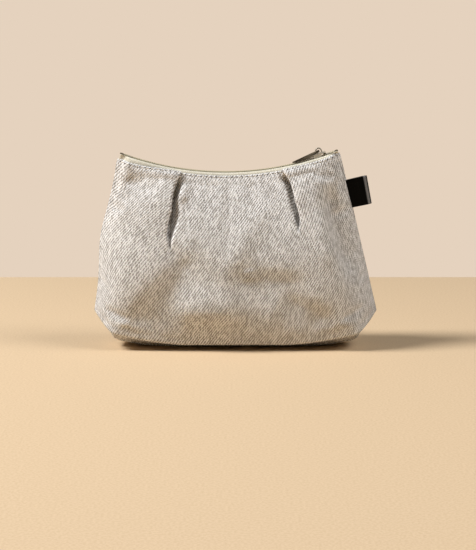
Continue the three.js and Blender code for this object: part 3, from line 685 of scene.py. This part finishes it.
def stitches(name, settled, back):
    count = 2 * int((HALF_MOUTH - 4) / STITCH_PITCH) + 1
    steps = 7
    ring = np.linspace(0, 2 * math.pi, THREAD_SIDES, endpoint=False)
    grids = []
    for number in range(count):
        middle = (number - (count - 1) / 2) * STITCH_PITCH
        t = np.linspace(-0.5, 0.5, steps)
        u = (middle + t * STITCH_LENGTH) / HALF_MOUTH
        v = np.full(steps, 1 - STITCH_BELOW_EDGE / WALL_HEIGHT)
        out, up = wall_frame(settled, u, v)
        lift = np.array([stitch_lift(a) for a in u])
        ends = (2 * np.abs(t)) ** 4
        rise = CLOTH / 2 + lift - stitch_dent(u, STITCH_BELOW_EDGE) + STITCH_RISE - STITCH_SINK * ends
        path = sampled(settled, u, v) + out * rise[:, None]
        radius = THREAD / 2 * (1 - 0.4 * ends)
        circle = np.cos(ring)[None, :, None] * up[:, None] + np.sin(ring)[None, :, None] * out[:, None]
        grids.append(path[:, None] + circle * radius[:, None, None])
    if back:
        grids = [g[:, ::-1] * np.array([1.0, -1.0, 1.0]) for g in grids]
    pieces = [grid_piece(f"{name}_{i}", g, closed=True) for i, g in enumerate(grids)]
    deselect()
    for piece in pieces:
        piece.select_set(True)
    bpy.context.view_layer.objects.active = pieces[0]
    bpy.ops.object.join()
    joined = pieces[0]
    joined.name = name
    close_ends(joined, THREAD_SIDES)
    return joined


def stitch_lift(u):
    """Height of the lapped cloth under a stitch at u."""
    side = -1 if u < 0 else 1
    v = 1 - STITCH_BELOW_EDGE / WALL_HEIGHT
    columns, lift, _ = half_row(side, v)
    near = np.abs(columns - u)
    return float(lift[near < 0.02].max()) if (near < 0.02).any() else float(lift[near.argmin()])


# Small cast pieces: the solid's own shape with its edges rounded

def cast_copy(node):
    piece = bpy.data.objects.new(f"{node}_cast", bpy.data.objects[node].data.copy())
    bpy.context.scene.collection.objects.link(piece)
    make_active(piece)
    bpy.ops.object.mode_set(mode="EDIT")
    bpy.ops.mesh.select_all(action="SELECT")
    bpy.ops.mesh.remove_doubles(threshold=0.001 * MM)
    bpy.ops.mesh.dissolve_limited(angle_limit=math.radians(1))
    bpy.ops.object.mode_set(mode="OBJECT")
    apply_modifier(piece, "BEVEL", width=CAST_ROUNDING * MM, segments=2, limit_method="ANGLE",
                   angle_limit=math.radians(40))
    make_active(piece)
    bpy.ops.object.shade_smooth_by_angle(angle=math.radians(45))
    return piece


def lay_down(pull):
    """Thin the pull from its eye on, and set it down so that it lies along the coil."""
    eye = Vector(on_zip(SLIDER_AT, 0.0, PULL_AXIS_UP) * MM)
    down = (Vector(on_zip(SLIDER_AT, 0.0, 0.0) * MM) - eye).normalized()
    for vertex in pull.data.vertices:
        from_eye = vertex.co - eye
        out = math.hypot(from_eye.x, from_eye.z) / MM
        beyond = float(smooth((out - 0.9) / 2.6))
        sunk = PULL_SET_DOWN * beyond - out ** 2 / (2 * ZIP_RADIUS)
        vertex.co += down * (sunk * MM - (1 - PULL_THINNED) * beyond * from_eye.dot(down))


# Leather tab: a strip folded in half, both ends in the right side seam

def leather_tab(name):
    foot, top = wall(1.0, 0.0), wall(1.0, 1.0)
    share = (TAB_CENTRE_HEIGHT - foot[2]) / (top[2] - foot[2])
    seam = lerp(foot, top, share) * np.array([1.0, 0.0, 1.0])
    lean = math.atan2(foot[0] - top[0], top[2] - foot[2])
    outward = np.array([math.cos(TAB_TURN), 0.0, math.sin(TAB_TURN)])
    upward = np.array([-math.sin(lean), 0.0, math.cos(lean)])
    closed = (TAB_FOLD_GAP + TAB_LEATHER) / 2
    radius = TAB_LOOP / 2 - TAB_LEATHER / 2
    bend = TAB_LENGTH - TAB_LEATHER / 2 - radius
    straight = np.linspace(-TAB_IN_SEAM, bend, 14)
    parting = lerp(closed, radius, smooth(straight / bend))
    arc = np.linspace(-math.pi / 2, math.pi / 2, 17)[1:-1]
    reach = np.concatenate([straight, bend + radius * np.cos(arc), straight[::-1]])
    depth = np.concatenate([-parting, radius * np.sin(arc), parting[::-1]])
    across = np.linspace(-TAB_HEIGHT / 2, TAB_HEIGHT / 2, 14)
    wider = 1 + TAB_FLARE * across / TAB_HEIGHT
    out_of_seam = (wider[:, None] * reach[None, :])[..., None] * outward
    up_seam = across[:, None, None] * upward
    apart = depth[None, :, None] * np.array([0.0, 1.0, 0.0])
    grid = seam + out_of_seam + up_seam + apart
    length = np.concatenate([[0], np.cumsum(np.linalg.norm(np.diff(grid[0], axis=0), axis=-1))])
    flat = np.stack(np.broadcast_arrays(length[None, :], across[:, None]), axis=-1)
    piece = grid_piece(name, grid, flat)
    apply_modifier(piece, "SOLIDIFY", thickness=TAB_LEATHER * MM, offset=0.0)
    apply_modifier(piece, "BEVEL", width=0.25 * MM, segments=3, limit_method="ANGLE",
                   angle_limit=math.radians(50))
    make_active(piece)
    bpy.ops.object.shade_smooth()
    return piece, float(length[-1])


# Materials

def linear(red, green, blue):
    def channel(c):
        c = c / 255
        return c / 12.92 if c <= 0.04045 else ((c + 0.055) / 1.055) ** 2.4
    return (channel(red), channel(green), channel(blue), 1.0)


class Nodes:
    """Short words for building a node tree."""

    def __init__(self, tree):
        self.tree = tree

    def add(self, kind, **settings):
        node = self.tree.nodes.new(kind)
        for key, value in settings.items():
            setattr(node, key, value)
        return node

    def link(self, output, socket):
        self.tree.links.new(output, socket)

    def math(self, operation, *values):
        node = self.add("ShaderNodeMath", operation=operation)
        for socket, value in zip(node.inputs, values):
            if isinstance(value, (int, float)):
                socket.default_value = value
            else:
                self.link(value, socket)
        return node.outputs[0]

    def mix(self, factor, first, second):
        node = self.add("ShaderNodeMix", data_type="RGBA")
        for socket, value in zip((node.inputs[0], node.inputs[6], node.inputs[7]), (factor, first, second)):
            if isinstance(value, (int, float, tuple)):
                socket.default_value = value
            else:
                self.link(value, socket)
        return node.outputs[2]

    def multiply(self, first, second):
        node = self.add("ShaderNodeMix", data_type="RGBA", blend_type="MULTIPLY")
        node.inputs[0].default_value = 1.0
        self.link(first, node.inputs[6])
        self.link(second, node.inputs[7])
        return node.outputs[2]

    def noise(self, vector, scale, detail):
        node = self.add("ShaderNodeTexNoise")
        self.link(vector, node.inputs["Vector"])
        node.inputs["Scale"].default_value = scale
        node.inputs["Detail"].default_value = detail
        return node.outputs["Fac"]

    def spread(self, value, reach):
        """A value from 0 to 1, spread evenly about 0."""
        return self.math("MULTIPLY", self.math("SUBTRACT", value, 0.5), reach)

    def half_wave(self, value):
        return self.math("SINE", self.math("MULTIPLY", value, math.pi))

    def ramp(self, value, low, high):
        node = self.add("ShaderNodeMapRange", interpolation_type="SMOOTHSTEP")
        self.link(value, node.inputs[0])
        node.inputs[1].default_value = low
        node.inputs[2].default_value = high
        return node.outputs[0]


def new_material(name):
    material = bpy.data.materials.new(name)
    material.use_nodes = True
    nodes = Nodes(material.node_tree)
    shader = material.node_tree.nodes["Principled BSDF"]
    return material, nodes, shader


def weave_group():
    """Woven cloth on a flat cut in metres: warp floats over the weft, a pick higher in each column."""
    group = bpy.data.node_groups.new("woven_cloth", "ShaderNodeTree")
    group.interface.new_socket(name="Flat", in_out="INPUT", socket_type="NodeSocketVector")
    for name in ("Warp Width", "Pick", "Repeat", "Float Share"):
        group.interface.new_socket(name=name, in_out="INPUT", socket_type="NodeSocketFloat")
    for name in ("Height", "Light", "Shade"):
        group.interface.new_socket(name=name, in_out="OUTPUT", socket_type="NodeSocketFloat")
    nodes = Nodes(group)
    entry = nodes.add("NodeGroupInput")
    exit_node = nodes.add("NodeGroupOutput")
    flat, width, pick, repeat, over = [entry.outputs[i] for i in range(5)]
    split = nodes.add("ShaderNodeSeparateXYZ")
    nodes.link(flat, split.inputs[0])
    sway = nodes.spread(nodes.noise(flat, 260, 2), 0.6)
    slip = nodes.spread(nodes.noise(flat, 420, 2), 0.75)
    warp = nodes.math("ADD", nodes.math("DIVIDE", split.outputs[0], width), sway)
    column = nodes.math("FLOOR", warp)
    across = nodes.half_wave(nodes.math("FRACT", warp))
    picks = nodes.math("ADD", nodes.math("DIVIDE", split.outputs[1], pick), slip)
    place = nodes.math("DIVIDE", nodes.math("SUBTRACT", picks, column), repeat)
    share = nodes.math("FRACT", place)
    along = nodes.math("MINIMUM", nodes.math("DIVIDE", share, over), 1.0)
    arch = nodes.math("POWER", nodes.math("MAXIMUM", nodes.half_wave(along), 0.0), 0.45)
    warp_height = nodes.math("MULTIPLY", arch, nodes.math("POWER", across, 0.6))
    weft = nodes.math("MULTIPLY", nodes.half_wave(nodes.math("FRACT", picks)), 0.3)
    height = nodes.math("MAXIMUM", warp_height, weft)
    each = nodes.add("ShaderNodeTexWhiteNoise", noise_dimensions="2D")
    number = nodes.add("ShaderNodeCombineXYZ")
    nodes.link(column, number.inputs[0])
    nodes.link(nodes.math("FLOOR", place), number.inputs[1])
    nodes.link(number.outputs[0], each.inputs["Vector"])
    uneven = nodes.spread(each.outputs["Value"], 0.75)
    fibre = nodes.spread(nodes.noise(flat, 3200, 3), 0.5)
    light = nodes.math("ADD", nodes.math("ADD", warp_height, uneven), fibre)
    nodes.link(height, exit_node.inputs["Height"])
    nodes.link(light, exit_node.inputs["Light"])
    nodes.link(nodes.noise(flat, 60, 4), exit_node.inputs["Shade"])
    return group


def needle_hole_shade_mask(nodes):
    """Mask for the shade painted into the needle holes of the topstitching, 1 away from them and 0 in them.
    """
    uv = nodes.add("ShaderNodeUVMap", uv_map="stitch_line")
    split = nodes.add("ShaderNodeSeparateXYZ")
    nodes.link(uv.outputs[0], split.inputs[0])
    step = nodes.math("DIVIDE", split.outputs[0], STITCH_PITCH * MM)
    along = nodes.spread(nodes.math("FRACT", step), STITCH_PITCH / HOLE)
    down = nodes.math("DIVIDE", nodes.math("SUBTRACT", split.outputs[1], STITCH_BELOW_EDGE * MM), HOLE * MM)
    along_squared = nodes.math("MULTIPLY", along, along)
    down_squared = nodes.math("MULTIPLY", down, down)
    away = nodes.math("SQRT", nodes.math("ADD", along_squared, down_squared))
    return nodes.ramp(away, 0.35, 1.1)


WHITE = (1.0, 1.0, 1.0, 1.0)
FADED = (0.97, 0.966, 0.968, 1.0)  # uneven shade of the dyed yarn
# Dark colour of the shade painted into the needle holes
HOLE_PAINTED_SHADE = (0.16, 0.14, 0.12, 1.0)


def cloth_material(name, group, weave_sizes, dark, light, relief, stitched=False):
    material, nodes, shader = new_material(name)
    uv = nodes.add("ShaderNodeUVMap", uv_map="flat_cut")
    weave = nodes.add("ShaderNodeGroup", node_tree=group)
    for socket, value in weave_sizes.items():
        weave.inputs[socket].default_value = value
    nodes.link(uv.outputs[0], weave.inputs["Flat"])
    colour = nodes.mix(nodes.ramp(weave.outputs["Light"], 0.0, 0.7), dark, light)
    tint = nodes.mix(nodes.ramp(weave.outputs["Shade"], 0.3, 0.7), FADED, WHITE)
    colour = nodes.multiply(colour, tint)
    if stitched:
        # Painted shade darkens the cloth in the needle holes
        colour = nodes.multiply(colour, nodes.mix(needle_hole_shade_mask(nodes), HOLE_PAINTED_SHADE, WHITE))
    nodes.link(colour, shader.inputs["Base Color"])
    bump = nodes.add("ShaderNodeBump")
    bump.inputs["Strength"].default_value = 0.8
    bump.inputs["Distance"].default_value = relief * MM
    nodes.link(weave.outputs["Height"], bump.inputs["Height"])
    nodes.link(bump.outputs[0], shader.inputs["Normal"])
    shader.inputs["Roughness"].default_value = 0.92
    shader.inputs["Sheen Weight"].default_value = 0.1
    shader.inputs["Sheen Roughness"].default_value = 0.6
    shader.inputs["Specular IOR Level"].default_value = 0.25
    return material


def plain_material(name, colour, roughness, metallic=0.0, grain=0.0, grain_scale=900.0, specular=0.5):
    material, nodes, shader = new_material(name)
    spot = nodes.add("ShaderNodeTexCoord")
    noise_node = nodes.add("ShaderNodeTexNoise")
    noise_node.inputs["Scale"].default_value = grain_scale
    noise_node.inputs["Detail"].default_value = 3
    nodes.link(spot.outputs["Object"], noise_node.inputs["Vector"])
    dark = tuple(c * 0.8 for c in colour[:3]) + (1.0,)
    nodes.link(nodes.mix(noise_node.outputs["Fac"], dark, colour), shader.inputs["Base Color"])
    rough = nodes.math("ADD", nodes.math("MULTIPLY", noise_node.outputs["Fac"], 0.2), roughness - 0.1)
    nodes.link(rough, shader.inputs["Roughness"])
    shader.inputs["Metallic"].default_value = metallic
    shader.inputs["Specular IOR Level"].default_value = specular
    if grain:
        bump = nodes.add("ShaderNodeBump")
        bump.inputs["Strength"].default_value = 0.5
        bump.inputs["Distance"].default_value = grain * MM
        nodes.link(noise_node.outputs["Fac"], bump.inputs["Height"])
        nodes.link(bump.outputs[0], shader.inputs["Normal"])
    return material


def leather_material(length):
    """Black leather with a grey highlight painted along the two sides of its fold."""
    material = plain_material("black_leather", linear(5, 5, 5), 0.3,
                              grain=0.02, grain_scale=1800.0, specular=0.06)
    nodes = Nodes(material.node_tree)
    uv = nodes.add("ShaderNodeUVMap", uv_map="flat_cut")
    split = nodes.add("ShaderNodeSeparateXYZ")
    nodes.link(uv.outputs[0], split.inputs[0])
    # A grey line painted along each side of the fold stands in for a highlight
    from_fold = nodes.math("ABSOLUTE", nodes.math("SUBTRACT", split.outputs[0], length / 2 * MM))
    off_line = nodes.math("ABSOLUTE", nodes.math("SUBTRACT", from_fold, TAB_PAINTED_HIGHLIGHT_AT * MM))
    painted_highlight = nodes.math("SUBTRACT", 1.0, nodes.ramp(off_line, 0.25 * MM, 1.1 * MM))
    shader = material.node_tree.nodes["Principled BSDF"]
    plain = shader.inputs["Base Color"].links[0].from_socket
    nodes.link(nodes.mix(painted_highlight, plain, linear(128, 128, 130)), shader.inputs["Base Color"])
    return material


def dress(piece, material):
    piece.data.materials.clear()
    piece.data.materials.append(material)


def open_with(piece):
    """Bakes the piece's placement into its mesh and reads its points, which are not used further."""
    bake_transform(piece)
    place = np.empty(len(piece.data.vertices) * 3)
    piece.data.vertices.foreach_get("co", place)


# Building the pouch
weave = weave_group()
TWILL_WEAVE = {"Warp Width": 0.625 * MM, "Pick": 0.825 * MM, "Repeat": 3.0, "Float Share": 0.74}
LINING_WEAVE = {"Warp Width": 0.4 * MM, "Pick": 0.4 * MM, "Repeat": 2.0, "Float Share": 0.6}
TAPE_WEAVE = {"Warp Width": 0.3 * MM, "Pick": 0.45 * MM, "Repeat": 4.0, "Float Share": 0.7}
TWILL_YARNS = linear(134, 128, 121), linear(253, 252, 251)
TWILL = cloth_material("grey_twill", weave, TWILL_WEAVE, *TWILL_YARNS, 0.3)
STITCHED_TWILL = cloth_material("grey_twill_stitched", weave, TWILL_WEAVE, *TWILL_YARNS, 0.3, stitched=True)
LINING_YARNS = linear(205, 198, 186), linear(236, 231, 222)
LINING_CLOTH = cloth_material("lining_cotton", weave, LINING_WEAVE, *LINING_YARNS, 0.08)
TAPE_YARNS = linear(206, 200, 180), linear(234, 229, 213)
TAPE_CLOTH = cloth_material("zip_tape_weave", weave, TAPE_WEAVE, *TAPE_YARNS, 0.06)
COIL_PLASTIC = plain_material("olive_coil", linear(205, 197, 166), 0.5)
METAL = plain_material("slider_metal", linear(186, 182, 172), 0.4, metallic=0.6)
PULL_METAL = plain_material("pull_metal", linear(92, 84, 70), 0.4, metallic=1.0)
TACK_COTTON = plain_material("olive_thread", linear(104, 95, 74), 0.85, specular=0.2)
THREAD_COTTON = plain_material("cream_thread", linear(226, 218, 203), 0.85, specular=0.2)

for side, back, seed in (("front", False, 0.0), ("back", True, 1.7)):
    body = f"{side}_wall"
    settled = settled_wall(seed)
    cloth, cloth_area = wall_cloth(f"{side}_cloth", settled, back)
    dress(cloth, STITCHED_TWILL)
    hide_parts(f"{side}_panel")
    open_with(cloth)
    lining, lining_area = wall_lining(f"{side}_lining_cloth", settled, back)
    dress(lining, LINING_CLOTH)
    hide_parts(f"{side}_lining")
    open_with(lining)
    tape, tape_area = zip_tape(f"{side}_tape", back)
    dress(tape, TAPE_CLOTH)
    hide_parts(f"zip_tape_{side}")
    open_with(tape)
    coil = zip_coil(f"{side}_coil", back)
    dress(coil, COIL_PLASTIC)
    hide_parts(f"zip_coil_{side}")
    open_with(coil)
    thread = stitches(f"{side}_topstitch", settled, back)
    dress(thread, THREAD_COTTON)
    open_with(thread)

base, base_area = base_sheet("base_cloth", 1.0, 1.0, 0.0, CLOTH)
dress(base, TWILL)
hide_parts("base_panel")
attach(base, "root")
base_lining, base_lining_area = base_sheet("base_lining_cloth", 0.9, 0.9, BASE_LINING_RISE, LINING)
dress(base_lining, LINING_CLOTH)
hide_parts("base_lining")
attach(base_lining, "root")

# Bar tacks: name, place along the zip and length
for end, at, length in (("bottom", MOUTH_START + 2.0, 3.4), ("top", MOUTH_END - 1.5, 2.2)):
    tack = bar_tack(f"{end}_bar_tack", at, length)
    dress(tack, TACK_COTTON)
    open_with(tack)

tab, tab_length = leather_tab("leather_tab")
dress(tab, leather_material(tab_length))
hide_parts("side_tab")
open_with(tab)

castings = (
    ("slider_body", "slider", METAL),
    ("slider_crown", "slider", METAL),
    ("pull_tab", "pull", PULL_METAL),
)
for node, body, metal in castings:
    cast = cast_copy(node)
    if node == "pull_tab":
        lay_down(cast)
    dress(cast, metal)
    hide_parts(node)
    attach(cast, body)
stops = (
    ("zip_top_stop_front", "front_wall"),
    ("zip_top_stop_back", "back_wall"),
    ("zip_bottom_stop", "back_wall"),
)
for node, body in stops:
    stop = cast_copy(node)
    dress(stop, METAL)
    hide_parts(node)
    open_with(stop)


# Floor, background, light and camera
PIXEL = 0.69  # millimetres at the pouch for one pixel of the photograph
PHOTO_HEIGHT = 550
PHOTO_MIDDLE_X = 238.0
POUCH_MIDDLE_X = 235.5  # pixel of the pouch's middle
AIM_HEIGHT = 48.7  # height on the pouch at the photograph's middle
ELEVATION = math.radians(8.0)
CAMERA_DISTANCE = 1200.0
FLOOR_BACK = 333.0
FLOOR_HALF = 2500.0
SENSOR = 36.0  # along the photograph's longer side, its height


def floor():
    deselect()
    bpy.ops.mesh.primitive_plane_add(size=1, location=(0, 0, 0))
    plane = bpy.context.object
    plane.name = "floor"
    depth = FLOOR_BACK + FLOOR_HALF
    place = Matrix.Translation((0, (FLOOR_BACK - FLOOR_HALF) / 2 * MM, 0))
    plane.data.transform(place @ Matrix.Diagonal((2 * FLOOR_HALF * MM, depth * MM, 1, 1)))
    material, nodes, shader = new_material("warm_paper")
    spot = nodes.add("ShaderNodeTexCoord")
    speck = nodes.ramp(nodes.noise(spot.outputs["Object"], 700, 2), 0.35, 0.65)
    nodes.link(nodes.mix(speck, linear(210, 184, 150), linear(218, 193, 160)), shader.inputs["Base Color"])
    shader.inputs["Roughness"].default_value = 0.9
    shader.inputs["Specular IOR Level"].default_value = 0.2
    dress(plane, material)


def area_light(name, place, target, size, power, colour):
    data = bpy.data.lights.new(name, "AREA")
    data.shape = "DISK"
    data.size = size
    data.energy = power
    data.color = colour
    lamp = bpy.data.objects.new(name, data)
    bpy.context.scene.collection.objects.link(lamp)
    lamp.location = place
    lamp.rotation_euler = (Vector(target) - Vector(place)).to_track_quat("-Z", "Y").to_euler()


SKY_LOW = (0.01, 0.01, 0.01, 1)
SKY_HIGH = (0.05, 0.05, 0.05, 1)
ROOM_FRONT = (0.03, 0.03, 0.03, 1)
WALL_COLOUR = linear(229, 210, 190)


def background():
    world = bpy.data.worlds.new("studio")
    bpy.context.scene.world = world
    world.use_nodes = True
    nodes = Nodes(world.node_tree)
    shown = world.node_tree.nodes["Background"]
    shown.inputs["Color"].default_value = WALL_COLOUR
    shown.inputs["Strength"].default_value = 1.0
    lighting = nodes.add("ShaderNodeBackground")
    direction = nodes.add("ShaderNodeTexCoord")
    height = nodes.add("ShaderNodeSeparateXYZ")
    nodes.link(direction.outputs["Generated"], height.inputs[0])
    overhead = nodes.ramp(height.outputs[2], -0.1, 0.9)
    nodes.link(nodes.mix(overhead, SKY_LOW, SKY_HIGH), lighting.inputs["Color"])
    reflected = nodes.add("ShaderNodeBackground")
    ahead = nodes.ramp(height.outputs[1], -0.75, -0.1)
    nodes.link(nodes.mix(ahead, ROOM_FRONT, WALL_COLOUR), reflected.inputs["Color"])
    path = nodes.add("ShaderNodeLightPath")
    mirrored = nodes.math("MAXIMUM", path.outputs["Is Glossy Ray"], path.outputs["Is Transmission Ray"])
    first = nodes.add("ShaderNodeMixShader")
    nodes.link(mirrored, first.inputs[0])
    nodes.link(lighting.outputs[0], first.inputs[1])
    nodes.link(reflected.outputs[0], first.inputs[2])
    second = nodes.add("ShaderNodeMixShader")
    nodes.link(path.outputs["Is Camera Ray"], second.inputs[0])
    nodes.link(first.outputs[0], second.inputs[1])
    nodes.link(shown.outputs[0], second.inputs[2])
    nodes.link(second.outputs[0], world.node_tree.nodes["World Output"].inputs["Surface"])


def camera():
    data = bpy.data.cameras.new("camera")
    eye = bpy.data.objects.new("camera", data)
    bpy.context.scene.collection.objects.link(eye)
    data.sensor_width = SENSOR
    data.lens = SENSOR * CAMERA_DISTANCE / (PHOTO_HEIGHT * PIXEL)
    target = Vector(((PHOTO_MIDDLE_X - POUCH_MIDDLE_X) * PIXEL, 0, AIM_HEIGHT)) * MM
    back = Vector((0, -math.cos(ELEVATION), math.sin(ELEVATION)))
    eye.location = target + back * CAMERA_DISTANCE * MM
    eye.rotation_euler = (-back).to_track_quat("-Z", "Y").to_euler()
    bpy.context.scene.camera = eye


floor()
background()
area_light("key", (-1.5, -0.33, 1.7), (0, 0, 0.05), 0.75, 60.0, (1.0, 0.995, 0.99))
area_light("side", (1.3, -0.5, 1.5), (0, 0, 0.05), 1.1, 18.5, (1.0, 0.99, 0.98))
camera()
bpy.context.scene.view_settings.view_transform = "Standard"
